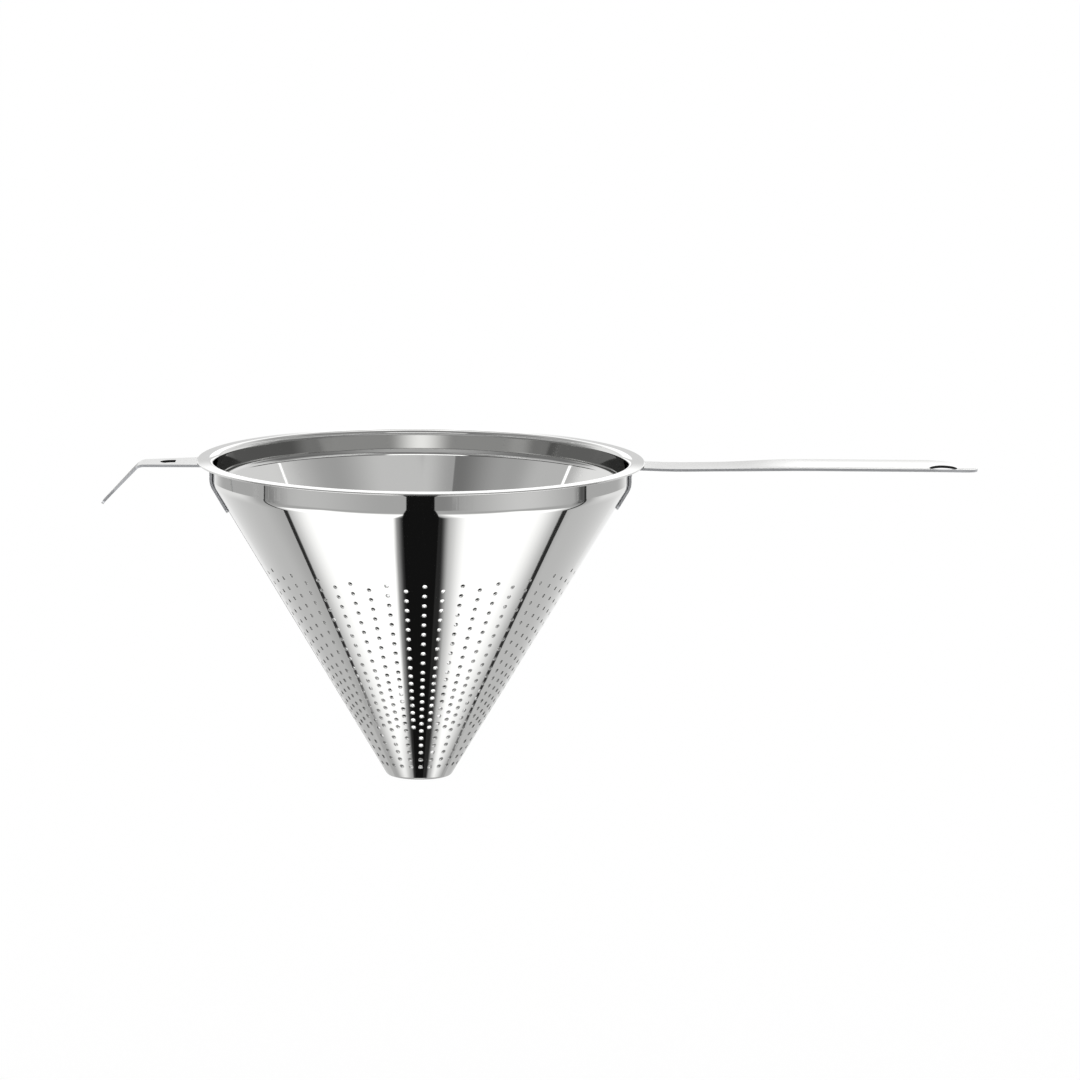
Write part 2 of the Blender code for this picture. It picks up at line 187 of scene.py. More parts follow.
class PunchedFace:
    """The outer or the inner face of the punched zone, at one depth in the sheet."""

    def __init__(self, skin, depth):
        self.skin, self.depth = skin, depth
        self.sign = 1.0 if depth == 0.0 else -1.0
        self.grid = {}

    def node(self, column_step, half_step):
        """A point of the grid, counted in quarter columns and half half-rows."""
        key = (column_step % (COLUMNS * CELL_STEPS), half_step)
        if key not in self.grid:
            azimuth = COLUMN_PHASE + COLUMN_ANGLE * (key[0] / CELL_STEPS - 0.5)
            place, outward = cone_place(azimuth, slant_of(half_step / 2.0), self.depth)
            self.grid[key] = self.skin.point(place, self.sign * outward)
        return self.grid[key]

    def quad(self, a, b, c, d):
        """A face whose front is on this side of the sheet."""
        self.skin.face(*((a, b, c, d) if self.sign > 0.0 else (d, c, b, a)))

    def plain_cell(self, column, half_row):
        """The quads over one half row of a column that has no hole there."""
        for across in range(CELL_STEPS):
            left = column * CELL_STEPS + across
            for step in range(2):
                top = 2 * half_row + step
                self.quad(
                    self.node(left, top), self.node(left, top + 1),
                    self.node(left + 1, top + 1), self.node(left + 1, top),
                )

    def border(self, column, half_row):
        """The points round a hole's cell, from its right middle on towards the rim."""
        middle = (column * CELL_STEPS + CELL_STEPS // 2, 2 * half_row)
        steps = [(2, 0), (2, -1), (2, -2), (1, -2), (0, -2), (-1, -2), (-2, -2), (-2, -1)]
        ring = steps + [(-across, -down) for across, down in steps]
        return [self.node(middle[0] + across, middle[1] + down) for across, down in ring]

    def circle(self, column, half_row, radius, tilt, sink):
        """Points on a circle round the hole, whose surface leans into the hole by tilt."""
        centre = slant_of(half_row)
        centre_azimuth = COLUMN_PHASE + COLUMN_ANGLE * column
        points = []
        for step in range(4 * CELL_STEPS):
            angle = TURN * step / (4 * CELL_STEPS)
            distance = centre - radius * math.sin(angle)
            local_radius = COLLAR_RADIUS - distance * math.sin(HALF_ANGLE)
            azimuth = centre_azimuth + radius * math.cos(angle) / local_radius
            place, outward = cone_place(azimuth, distance, self.depth + self.sign * sink)
            around = Vector((-math.sin(azimuth), math.cos(azimuth), 0.0))
            along = outward.cross(around)
            towards = -(math.cos(angle) * around + math.sin(angle) * along)
            normal = math.cos(tilt) * self.sign * outward + math.sin(tilt) * towards
            points.append(self.skin.point(place, normal))
        return points

    def punched_cell(self, column, half_row):
        """A cell with its hole. Returns the ring of points at the hole's wall."""
        rings = [
            self.border(column, half_row),
            self.circle(column, half_row, HOLE_RADIUS + EDGE_ROLL, 0.0, 0.0),
            self.circle(column, half_row, HOLE_RADIUS + HALF_ROLL, HALF_ROLL_TILT, HALF_ROLL),
            self.circle(column, half_row, HOLE_RADIUS, WALL_TILT, EDGE_ROLL),
        ]
        count = len(rings[0])
        for outer, inner in zip(rings, rings[1:]):
            for index in range(count):
                after = (index + 1) % count
                self.quad(outer[index], outer[after], inner[after], inner[index])
        return rings[-1]

    def build(self):
        """All cells of the zone. Returns the wall rings by column and half row."""
        walls = {}
        for column in range(COLUMNS):
            punched = set(hole_rows(column))
            half_row = ZONE_TOP
            while half_row < ZONE_END:
                if half_row + 1 in punched:
                    walls[(column, half_row + 1)] = self.punched_cell(column, half_row + 1)
                    half_row += 2
                else:
                    self.plain_cell(column, half_row)
                    half_row += 1
        return walls


bowl_skin = Skin()
outer_zone = PunchedFace(bowl_skin, 0.0)
inner_zone = PunchedFace(bowl_skin, SHEET)
outer_walls = outer_zone.build()
inner_walls = inner_zone.build()
for key, outer_ring in outer_walls.items():
    inner_ring = inner_walls[key]
    for index, corner in enumerate(outer_ring):
        after = (index + 1) % len(outer_ring)
        bowl_skin.face(corner, outer_ring[after], inner_ring[after], inner_ring[index])
print("faces of the punched zone:", len(bowl_skin.faces))

# %% [markdown]
# ## The plain rings of the bowl
#
# Above and below the punched zone the bowl is simply turned: the same points on the profile are
# repeated round the axis. The profile runs from the flange's edge down to the tip. It is made of
# straight stretches and arcs, each with its surface direction, so the bends shade softly. A drawn
# flange is never quite level: it falls by two degrees, so front, sides and back catch other light.

# %% The profile above and below the punched zone
BEND_STEPS = 10


def profile_arc(centre, radius, start, end, steps, outside):
    """Points of an arc with their surface directions; outside is False on a hollow bend."""
    points = []
    for step in range(steps + 1):
        angle = start + (end - start) * step / steps
        direction = Vector((math.cos(angle), math.sin(angle)))
        points.append((centre + radius * direction, direction if outside else -direction))
    return points


UNDER_FLANGE = DEPTH - SHEET
FLAT_INTO_EDGE = 0.00005
FLANGE_EDGE = SHEET / 2.0 - FLAT_INTO_EDGE
CONE_OUTWARD = Vector((math.cos(HALF_ANGLE), -math.sin(HALF_ANGLE)))
rim_centre = Vector((COLLAR_RADIUS + RIM_BEND, UNDER_FLANGE - RIM_BEND))
shoulder_centre = Vector((COLLAR_RADIUS - SHOULDER_BEND, SHOULDER_HEIGHT))
tip_inset = TIP_BEND * (1.0 - math.sin(HALF_ANGLE)) / math.cos(HALF_ANGLE)
tip_centre = Vector((TIP_RADIUS - tip_inset, TIP_BEND))

FLANGE_FALL = math.radians(2.0)
flange_down = Vector((-math.sin(FLANGE_FALL), -math.cos(FLANGE_FALL)))
flange_root = rim_centre - RIM_BEND * flange_down


def under_flange(radius):
    """A point on the flange's lower face."""
    return Vector((radius, flange_root.y - (radius - flange_root.x) * math.tan(FLANGE_FALL)))


upper_profile = [(under_flange(FLANGE_RADIUS - FLANGE_EDGE), flange_down)]
upper_profile += profile_arc(
    rim_centre, RIM_BEND, QUARTER_TURN - FLANGE_FALL, 2.0 * QUARTER_TURN, BEND_STEPS, False)
upper_profile += profile_arc(shoulder_centre, SHOULDER_BEND, 0.0, -HALF_ANGLE, BEND_STEPS, True)

lower_profile = profile_arc(tip_centre, TIP_BEND, -HALF_ANGLE, -QUARTER_TURN, BEND_STEPS, True)
TIP_RINGS = 3
lower_profile += [
    (Vector(((TIP_RADIUS - tip_inset) * (1.0 - step / TIP_RINGS), 0.0)), Vector((0.0, -1.0)))
    for step in range(1, TIP_RINGS)
]
print("points on the profile:", len(upper_profile), "above the holes,", len(lower_profile), "below")

# %% [markdown]
# Turning a profile is what a lathe or Blender's Screw modifier does. Here it is done point by point,
# because each ring has to meet the punched zone's border exactly, and because the same profile gives
# both faces of the sheet: the inner one lies a sheet's thickness behind the outer one.

# %% Turn the profile on both faces of the sheet
RING_STEPS = COLUMNS * CELL_STEPS


def ring(profile_point, depth):
    """One ring of points round the axis, depth below the outer face."""
    place, direction = profile_point
    place = place - depth * direction
    sign = 1.0 if depth == 0.0 else -1.0
    corners = []
    for step in range(RING_STEPS):
        azimuth = COLUMN_PHASE + COLUMN_ANGLE * (step / CELL_STEPS - 0.5)
        around = Vector((math.cos(azimuth), math.sin(azimuth)))
        corners.append(bowl_skin.point(
            (place.x * around.x, place.x * around.y, place.y),
            (sign * direction.x * around.x, sign * direction.x * around.y, sign * direction.y),
        ))
    return corners


def join(upper, lower, front):
    """Quads between two rings; front is the zone object whose side they face."""
    for step in range(RING_STEPS):
        after = (step + 1) % RING_STEPS
        front.quad(upper[step], lower[step], lower[after], upper[after])


def zone_edge(zone, half_row):
    """The ring of points at the zone's upper or lower end."""
    return [zone.node(step, 2 * half_row) for step in range(RING_STEPS)]


flange_ends = []
for zone in (outer_zone, inner_zone):
    rings = [ring(point, zone.depth) for point in upper_profile]
    rings.append(zone_edge(zone, ZONE_TOP))
    for upper, lower in zip(rings, rings[1:]):
        join(upper, lower, zone)
    flange_ends.append(rings[0])
    rings = [zone_edge(zone, ZONE_END)] + [ring(point, zone.depth) for point in lower_profile]
    for upper, lower in zip(rings, rings[1:]):
        join(upper, lower, zone)
    centre = bowl_skin.point((0.0, 0.0, zone.depth), (0.0, 0.0, -zone.sign))
    for step in range(RING_STEPS):
        after = (step + 1) % RING_STEPS
        corners = (rings[-1][step], centre, rings[-1][after])
        bowl_skin.face(*(corners if zone.sign > 0.0 else corners[::-1]))

print("faces with the turned rings:", len(bowl_skin.faces))

# %% [markdown]
# The flange ends in the sheet's open edge. On the real strainer it is ground round, so nobody is cut
# by it. A half circle between the two faces is enough, and it catches one thin line of light.

# %% Round the flange's open edge
EDGE_STEPS = 6
EDGE_RADIUS = SHEET / 2.0
edge_centre = under_flange(FLANGE_RADIUS - EDGE_RADIUS * (1.0 + math.sin(FLANGE_FALL)))
edge_centre -= EDGE_RADIUS * flange_down
edge = profile_arc(
    edge_centre, EDGE_RADIUS,
    -QUARTER_TURN - FLANGE_FALL, QUARTER_TURN - FLANGE_FALL, EDGE_STEPS, True)
edge_rings = [flange_ends[0]] + [ring(point, 0.0) for point in edge[1:-1]] + [flange_ends[1]]
for lower, upper in zip(edge_rings, edge_rings[1:]):
    join(upper, lower, outer_zone)

bowl = bowl_skin.object("bowl_sheet")
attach(bowl, "root")
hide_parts("strainer_bowl")

# %% [markdown]
# ## The two strips
#
# Handle and hook are cut from the same strip steel. Seen from the side each is a line of straight
# runs and bends, so a small class keeps that line and gives the point and the direction at any
# distance along it. The strip is then laid over the line, with its width and its hollow across as
# smooth functions of the distance. The legs are hollowed a little less than the collar is round, so
# each touches it along its middle and leaves a fine dark line at its sides. Fine steps and a small
# bevel give the soft, deburred edges.

# %% A bent middle line
STRIP = 0.0012
SEAT = 0.00002
FLANGE_GAP = 0.0006
STRIP_BEND = 0.0032
LEG_CORNER = 0.0025
LEG_CURVE = 0.7 / (2.0 * COLLAR_RADIUS)


class SideLine:
    """The middle line of a bent strip, seen from the side: straight runs and arcs."""

    def __init__(self, point, heading):
        self.starts, self.runs = [(0.0, Vector(point), heading)], []

    def run(self, length, turn=0.0):
        """Add a run that turns by an angle."""
        distance, point, heading = self.starts[-1]
        self.runs.append((length, turn))
        end, end_heading = self.follow(point, heading, length, turn, length)
        self.starts.append((distance + length, end, end_heading))

    @staticmethod
    def follow(point, heading, length, turn, distance):
        """Point and heading at a distance along one run."""
        half_turn = turn * distance / length / 2.0
        middle = heading + half_turn
        chord = distance * (math.sin(half_turn) / half_turn if half_turn else 1.0)
        return point + Vector((math.cos(middle), math.sin(middle))) * chord, heading + 2.0 * half_turn

    def length(self):
        return self.starts[-1][0]

    def at(self, distance):
        """Point and heading at a distance along the whole line."""
        for (start, point, heading), (length, turn) in zip(self.starts, self.runs):
            if distance <= start + length:
                break
        return self.follow(point, heading, length, turn, distance - start)


def leg_line(leg_length, droop):
    """The line of a strip that climbs the cone and the collar and turns out under the flange."""
    up_the_cone = QUARTER_TURN - HALF_ANGLE
    middle_offset = SEAT + STRIP / 2.0
    shoulder_radius = SHOULDER_BEND + middle_offset
    bend_radius = STRIP_BEND + STRIP / 2.0
    strip_height = DEPTH - SHEET - FLANGE_GAP - STRIP / 2.0
    leg_top = shoulder_centre + shoulder_radius * CONE_OUTWARD
    climb = Vector((math.cos(up_the_cone), math.sin(up_the_cone)))
    line = SideLine(leg_top - leg_length * climb, up_the_cone)
    line.run(leg_length)
    line.run(shoulder_radius * HALF_ANGLE, HALF_ANGLE)
    line.run(strip_height - bend_radius - SHOULDER_HEIGHT)
    turn = QUARTER_TURN + droop
    line.run(bend_radius * turn, -turn)
    return line


# %% Lay a strip over its line
def ease(share):
    """Go from 0 to 1 without a corner at either end."""
    return (1.0 - math.cos(math.pi * min(max(share, 0.0), 1.0))) / 2.0


STATION_STEP = 0.0006
ACROSS = 12


def leg_half_width(distance, half_width):
    """Half width near the leg's lower end, where the two corners are rounded."""
    short = max(LEG_CORNER - distance, 0.0)
    return half_width - LEG_CORNER + math.sqrt(LEG_CORNER ** 2 - short ** 2)


def leg_curve(line, distance):
    """Hollow of the leg, as the factor of a parabola; it runs out along the bend under the flange."""
    bend_start, bend_length = line.starts[3][0], line.runs[3][0]
    return LEG_CURVE * (1.0 - ease((distance - bend_start) / bend_length))


def lay_strip(name, line, width_at, curve_at, side):
    """Skin a strip over a line; width_at and curve_at take the distance along it."""
    count = int(line.length() / STATION_STEP)
    verts, faces, rows = [], [], []
    for station in range(count + 1):
        distance = line.length() * station / count
        half_width = width_at(distance)
        point, heading = line.at(distance)
        up = Vector((-math.sin(heading), math.cos(heading)))
        row = []
        for face in (STRIP / 2.0, -STRIP / 2.0):
            steps = range(ACROSS + 1) if face > 0.0 else range(ACROSS, -1, -1)
            for step in steps:
                y = half_width * (2.0 * step / ACROSS - 1.0)
                place = point + up * (face + curve_at(distance) * y * y)
                row.append(len(verts))
                verts.append((side * place.x, y, place.y))
        rows.append(row)
    around = len(rows[0])
    for row, following in zip(rows, rows[1:]):
        for index in range(around):
            after = (index + 1) % around
            faces.append((row[index], row[after], following[after], following[index]))
    for row in (rows[0], rows[-1]):
        for step in range(ACROSS):
            faces.append((row[step], row[step + 1], row[around - 2 - step], row[around - 1 - step]))
    mesh = bpy.data.meshes.new(name)
    mesh.from_pydata(verts, [], faces)
    mesh.validate()
    strip = bpy.data.objects.new(name, mesh)
    bpy.context.scene.collection.objects.link(strip)
    return strip


# %% [markdown]
# A strip is cut and finished as in a workshop. A punch is an outline that is extruded into a cutter
# and taken away with a Boolean, which is quick and clean on such a plain mesh. Then the points are
# merged, the edges get a small bevel, and weighted normals keep the flat faces flat in reflections.
# The spot welds that hold the legs leave a shallow round mark, which is a punch that stops early.

# %% Tools for cutting, cleaning and finishing a strip
MERGE_DISTANCE = 0.000002
EDGE_ROUND = 0.00025
THROUGH = 0.004
ROUND_STEPS = 64
WELD_RADIUS = 0.0017
WELD_DEPTH = 0.0002
WELD_STEPS = 32
SIDEWAYS = 0.6


def clean(piece):
    """Merge doubled points and point all faces outwards."""
    bm = bmesh.new()
    bm.from_mesh(piece.data)
    bmesh.ops.remove_doubles(bm, verts=bm.verts, dist=MERGE_DISTANCE)
    bmesh.ops.dissolve_degenerate(bm, edges=bm.edges, dist=MERGE_DISTANCE)
    bmesh.ops.recalc_face_normals(bm, faces=bm.faces)
    bm.to_mesh(piece.data)
    bm.free()


def bake(piece, modifier):
    """Apply a modifier to the piece's mesh."""
    graph = bpy.context.evaluated_depsgraph_get()
    mesh = bpy.data.meshes.new_from_object(piece.evaluated_get(graph))
    piece.modifiers.remove(modifier)
    piece.data = mesh


def punch(piece, outline, place, depth=THROUGH):
    """Cut straight into a piece with the given outline, which lies in its own XY plane."""
    bm = bmesh.new()
    base = bm.faces.new([bm.verts.new((p.x, p.y, -depth)) for p in outline])
    grown = bmesh.ops.extrude_face_region(bm, geom=[base])
    lifted = [part for part in grown["geom"] if isinstance(part, bmesh.types.BMVert)]
    bmesh.ops.translate(bm, verts=lifted, vec=(0.0, 0.0, 2.0 * depth))
    bmesh.ops.recalc_face_normals(bm, faces=bm.faces)
    bm.transform(place)
    mesh = bpy.data.meshes.new("punch")
    bm.to_mesh(mesh)
    bm.free()
    cutter = bpy.data.objects.new("punch", mesh)
    bpy.context.scene.collection.objects.link(cutter)
    cut = piece.modifiers.new("hole", "BOOLEAN")
    cut.operation = "DIFFERENCE"
    cut.object = cutter
    bake(piece, cut)
    bpy.data.objects.remove(cutter)


def finish_strip(piece):
    """Round the cut edges and shade the strip smoothly."""
    bevel = piece.modifiers.new("deburred", "BEVEL")
    bevel.width = EDGE_ROUND
    bevel.segments = 3
    bevel.limit_method = "ANGLE"
    bevel.angle_limit = math.radians(50.0)
    bevel.harden_normals = True
    bake(piece, bevel)
    piece.data.shade_smooth()
    piece.data.set_sharp_from_angle(angle=math.radians(40.0))
    normals = piece.modifiers.new("shading", "WEIGHTED_NORMAL")
    normals.keep_sharp = True
    normals.weight = 80
    bake(piece, normals)
    print(piece.name, "has", len(piece.data.polygons), "faces")


def mark_cut_faces(piece, hole_centre, hole_reach, leg_end):
    """Give the cut edges the piece's second material, and the walls of its hole the third, a near-black
    painted shade.
    """
    for face in piece.data.polygons:
        upright = abs(face.normal.z) < SIDEWAYS
        if upright and (face.center - hole_centre).xy.length < hole_reach:
            face.material_index = 2
        elif abs(face.normal.y) > SIDEWAYS or (upright and abs(face.center.x) > leg_end):
            face.material_index = 1


def round_outline(radius, start, end, steps):
    """Points on an arc round the origin."""
    angles = [start + (end - start) * step / steps for step in range(steps + 1)]
    return [Vector((radius * math.cos(angle), radius * math.sin(angle))) for angle in angles]


def weld_marks(piece, line, side):
    """Press the two shallow round marks of spot welding into a leg's outer face."""
    for run in (0, 2):
        point, heading = line.at(line.starts[run][0] + line.runs[run][0] / 2.0)
        outer = point - Vector((-math.sin(heading), math.cos(heading))) * STRIP / 2.0
        lean = Matrix.Rotation(-side * heading, 4, "Y")
        place = Matrix.Translation((side * outer.x, 0.0, outer.y)) @ lean
        punch(piece, round_outline(WELD_RADIUS, 0.0, TURN, WELD_STEPS)[:-1], place, WELD_DEPTH)


# %% [markdown]
# ## The handle
#
# From under the flange the handle droops a little and levels out, then widens into the grip. The
# grip is dished upwards, which stiffens the thin strip: the hollow grows slowly along the neck and
# is full before the hang hole. The end is a long half ellipse rather than a half circle.

# %% Make the handle
HANDLE_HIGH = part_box("handle")[1]
HANDLE_REACH = HANDLE_HIGH[0]
NECK_WIDTH = 0.0222
GRIP_WIDTH = 0.0296
TAPER_FROM = 0.136
TAPER_TO = 0.174
GRIP_DISH = 0.0016
DISH_FROM = 0.114
DISH_TO = 0.19
GRIP_END_LENGTH = 0.025
HANDLE_DROOP = math.radians(1.8)
DROOP_LENGTH = 0.012
LEVELLING_LENGTH = 0.014
HANDLE_LEG = 0.0101
GRIP_END_LEAST = 0.00001
HANG_HOLE_RADIUS = 0.0066
HANG_HOLE_INSET = 0.0162

handle_line = leg_line(HANDLE_LEG, HANDLE_DROOP)
handle_line.run(DROOP_LENGTH)
handle_line.run(LEVELLING_LENGTH, HANDLE_DROOP)
handle_line.run(HANDLE_REACH - handle_line.starts[-1][1].x)


def handle_width(distance):
    """Half width of the handle: leg corner, neck, taper, grip and round end."""
    reach = handle_line.at(distance)[0].x
    if distance < LEG_CORNER:
        return leg_half_width(distance, NECK_WIDTH / 2.0)
    widened = ease((reach - TAPER_FROM) / (TAPER_TO - TAPER_FROM))
    width = NECK_WIDTH + (GRIP_WIDTH - NECK_WIDTH) * widened
    into_end = max(reach - (HANDLE_REACH - GRIP_END_LENGTH), 0.0) / GRIP_END_LENGTH
    return width / 2.0 * math.sqrt(max(1.0 - into_end ** 2, GRIP_END_LEAST))


def handle_curve(distance):
    """Hollow across the handle's leg and grip, as the factor of a parabola."""
    reach = handle_line.at(distance)[0].x
    share = min(max((reach - DISH_FROM) / (DISH_TO - DISH_FROM), 0.0), 1.0)
    dish = GRIP_DISH * math.sin(QUARTER_TURN * share) / (GRIP_WIDTH / 2.0) ** 2
    return dish + leg_curve(handle_line, distance)


handle = lay_strip("handle_strip", handle_line, handle_width, handle_curve, 1.0)
clean(handle)
hang_centre = Matrix.Translation((HANDLE_REACH - HANG_HOLE_INSET, 0.0, handle_line.starts[-1][1].y))
punch(handle, round_outline(HANG_HOLE_RADIUS, 0.0, TURN, ROUND_STEPS)[:-1], hang_centre)
weld_marks(handle, handle_line, 1.0)
finish_strip(handle)
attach(handle, "root")
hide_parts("handle")

# %% [markdown]
# ## The hook
#
# The hook is short and flat, narrows away from the rim, and is bent down to a slim tongue that
# catches a pot's edge. Its hole is D-shaped with the straight side towards the bowl.

# %% Make the hook
HOOK_WIDTH = 0.025
HOOK_FLAT = 0.02445
HOOK_NECK_WIDTH = 0.0172
HOOK_DROOP = math.radians(1.5)
HOOK_BEND = 0.006
HOOK_ANGLE = math.radians(46.7)
HOOK_ARM = 0.02089
TONGUE_WIDTH = 0.011
TONGUE_TIP_WIDTH = 0.004
TONGUE_TAPER = 0.0155
TONGUE_END_LEAST = 0.0001
CURL_LENGTH = 0.003
CURL_ANGLE = math.radians(12.0)
HOOK_LEG = 0.0135
HOOK_HOLE_OFFSET = 0.0102
HOOK_HOLE_LENGTH = 0.0072
HOOK_HOLE_WIDTH = 0.0092
RIM_REACH = 0.1054

hook_line = leg_line(HOOK_LEG, HOOK_DROOP)
flat_length = (RIM_REACH + HOOK_FLAT - hook_line.starts[-1][1].x) / math.cos(HOOK_DROOP)
hook_line.run(flat_length)
hook_line.run(HOOK_BEND * (HOOK_ANGLE - HOOK_DROOP), HOOK_DROOP - HOOK_ANGLE)
hook_line.run(HOOK_ARM)
hook_line.run(CURL_LENGTH, -CURL_ANGLE)


def hook_width(distance):
    """Half width of the hook: leg corner, flat, bend, tongue and round tip."""
    flat_start, bend_start, arm_start = (hook_line.starts[run][0] for run in (4, 5, 6))
    if distance < LEG_CORNER:
        return leg_half_width(distance, HOOK_WIDTH / 2.0)
    flat_share = min(max((distance - flat_start) / (bend_start - flat_start), 0.0), 1.0)
    bend_share = ease((distance - bend_start) / (arm_start - bend_start))
    tongue_share = min(max((distance - arm_start) / TONGUE_TAPER, 0.0), 1.0)
    width = HOOK_WIDTH + (HOOK_NECK_WIDTH - HOOK_WIDTH) * flat_share
    width += (TONGUE_WIDTH - HOOK_NECK_WIDTH) * bend_share
    width += (TONGUE_TIP_WIDTH - TONGUE_WIDTH) * tongue_share
    tip_radius = TONGUE_TIP_WIDTH / 2.0
    into_tip = max(distance - (hook_line.length() - tip_radius), 0.0) / tip_radius
    return width / 2.0 * math.sqrt(max(1.0 - into_tip ** 2, TONGUE_END_LEAST))


def hook_curve(distance):
    """Only the hook's leg is hollow."""
    return leg_curve(hook_line, distance)


hook = lay_strip("hook_strip", hook_line, hook_width, hook_curve, -1.0)
clean(hook)
half_hole = HOOK_HOLE_WIDTH / 2.0
round_side = Vector((HOOK_HOLE_LENGTH - half_hole, 0.0))
d_outline = [Vector((0.0, half_hole)), Vector((0.0, -half_hole))]
half_round = round_outline(half_hole, -QUARTER_TURN, QUARTER_TURN, ROUND_STEPS // 2)
d_outline += [round_side + point for point in half_round]
hook_hole_place = Matrix.Translation((-RIM_REACH - HOOK_HOLE_OFFSET, 0.0, hook_line.starts[4][1].y))
punch(hook, d_outline, hook_hole_place @ Matrix.Rotation(math.pi, 4, "Z"))
weld_marks(hook, hook_line, -1.0)
finish_strip(hook)
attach(hook, "root")
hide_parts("hook")

# %% [markdown]
# ## Steel
#
# Both finishes are bare stainless steel, so the base colour is a light grey and metallic is 1. What
# tells them apart is the surface. The bowl is polished sheet that was turned while it was polished,
# so it has very fine rings and mirrors its surroundings almost sharply. The strips are satin, with
# fine lines along their length. The lines are stretched noise in object space, which drives the
# roughness and a very small bump. The strips' cut edges were tumbled and are duller. The walls of
# their punched holes get a near-black colour, which is painted shade.

# %% Steel materials
def steel(name, colour, roughness, roughness_spread, bump_height, scale, turned):
    """A bare steel with fine lines, round the Z axis if turned and along X if not."""
    material = bpy.data.materials.new(name)
    material.use_nodes = True
    nodes, links = material.node_tree.nodes, material.node_tree.links
    shader = nodes["Principled BSDF"]
    shader.inputs["Base Color"].default_value = (*colour, 1.0)
    shader.inputs["Metallic"].default_value = 1.0
    place = nodes.new("ShaderNodeTexCoord").outputs["Object"]
    stretch = nodes.new("ShaderNodeMapping")
    stretch.inputs["Scale"].default_value = scale
    if turned:
        # Distance from the axis and height stay, the angle is left out: the lines close into rings
        split = nodes.new("ShaderNodeSeparateXYZ")
        radius = nodes.new("ShaderNodeVectorMath")
        radius.operation = "LENGTH"
        flat = nodes.new("ShaderNodeCombineXYZ")
        joined = nodes.new("ShaderNodeCombineXYZ")
        links.new(place, split.inputs[0])
        links.new(split.outputs["X"], flat.inputs["X"])
        links.new(split.outputs["Y"], flat.inputs["Y"])
        links.new(flat.outputs[0], radius.inputs[0])
        links.new(radius.outputs["Value"], joined.inputs["X"])
        links.new(split.outputs["Z"], joined.inputs["Z"])
        place = joined.outputs[0]
    links.new(place, stretch.inputs["Vector"])
    lines = nodes.new("ShaderNodeTexNoise")
    lines.inputs["Scale"].default_value = 1.0
    lines.inputs["Detail"].default_value = 5.0
    lines.inputs["Roughness"].default_value = 0.65
    links.new(stretch.outputs[0], lines.inputs["Vector"])
    spread = nodes.new("ShaderNodeMapRange")
    spread.inputs["To Min"].default_value = roughness - roughness_spread
    spread.inputs["To Max"].default_value = roughness + roughness_spread
    links.new(lines.outputs["Fac"], spread.inputs["Value"])
    links.new(spread.outputs["Result"], shader.inputs["Roughness"])
    bump = nodes.new("ShaderNodeBump")
    bump.inputs["Strength"].default_value = 1.0
    bump.inputs["Distance"].default_value = bump_height
    links.new(lines.outputs["Fac"], bump.inputs["Height"])
    links.new(bump.outputs["Normal"], shader.inputs["Normal"])
    return material


BOWL_COLOUR = (0.72, 0.72, 0.71)
STRIP_COLOUR = (0.7, 0.7, 0.69)
CUT_COLOUR = (0.62, 0.63, 0.65)
# Painted shade: the strips' hole walls get a near-black colour, far darker than bare steel
HOLE_WALL_SHADE_COLOUR = (0.04, 0.04, 0.04)
polished = steel(
    "polished_sheet", BOWL_COLOUR, roughness=0.03, roughness_spread=0.012,
    bump_height=0.0000001, scale=(3000.0, 3000.0, 3000.0), turned=True)
satin = steel(
    "satin_strip", STRIP_COLOUR, roughness=0.13, roughness_spread=0.03,
    bump_height=0.0000002, scale=(60.0, 3000.0, 3000.0), turned=False)
cut_edge = steel(
    "cut_edge", CUT_COLOUR, roughness=0.42, roughness_spread=0.06,
    bump_height=0.000001, scale=(300.0, 300.0, 3000.0), turned=False)
# The hole walls' material is painted shade, not a finish of the steel
hole_wall_painted_shade = steel(
    "hole_wall_painted_shade", HOLE_WALL_SHADE_COLOUR, roughness=0.45, roughness_spread=0.08,
    bump_height=0.000002, scale=(3000.0, 3000.0, 200.0), turned=False)
bowl.data.materials.append(polished)
LEG_END = 0.12
d_middle = hook_hole_place.translation - Vector((HOOK_HOLE_LENGTH / 2.0, 0.0, 0.0))
hole_spots = (
    (handle, hang_centre.translation, HANG_HOLE_RADIUS + EDGE_ROUND),
    (hook, d_middle, HOOK_HOLE_LENGTH),
)
for strip, hole_centre, hole_reach in hole_spots:
    strip.data.materials.clear()
    for finish in (satin, cut_edge, hole_wall_painted_shade):
        strip.data.materials.append(finish)
    mark_cut_faces(strip, hole_centre, hole_reach, LEG_END)
print("finishes:", [material.name for material in bpy.data.materials])

# %% [markdown]
# ## The studio
#
# Polished steel shows nothing but its surroundings, so the studio is the real paint here. The room
# is plain white and the strainer floats over a white table. Everything else in the reflections is
# a card, as a photographer uses them: dark ones make the dark bands and lines, bright ones make the
# clean white sweeps between them. Only the mirror-like steel sees the cards, so the camera keeps
# its white background and the light on the object stays plain.

# %% The table
TABLE_HEIGHT = -0.3
TABLE_SIZE = 12.0

table_mesh = bpy.data.meshes.new("table")
table_mesh.from_pydata(
    [(x * TABLE_SIZE, y * TABLE_SIZE, TABLE_HEIGHT) for x, y in ((-1, -1), (1, -1), (1, 1), (-1, 1))],
    [], [(0, 1, 2, 3)],
)
table = bpy.data.objects.new("table", table_mesh)
bpy.context.scene.collection.objects.link(table)
paper = bpy.data.materials.new("white_paper")
paper.use_nodes = True
paper.node_tree.nodes["Principled BSDF"].inputs["Base Color"].default_value = (1.0, 1.0, 1.0, 1.0)
paper.node_tree.nodes["Principled BSDF"].inputs["Roughness"].default_value = 1.0
paper.node_tree.nodes["Principled BSDF"].inputs["Specular IOR Level"].default_value = 0.0
table_mesh.materials.append(paper)
print("the table lies", -TABLE_HEIGHT, "m under the tip")
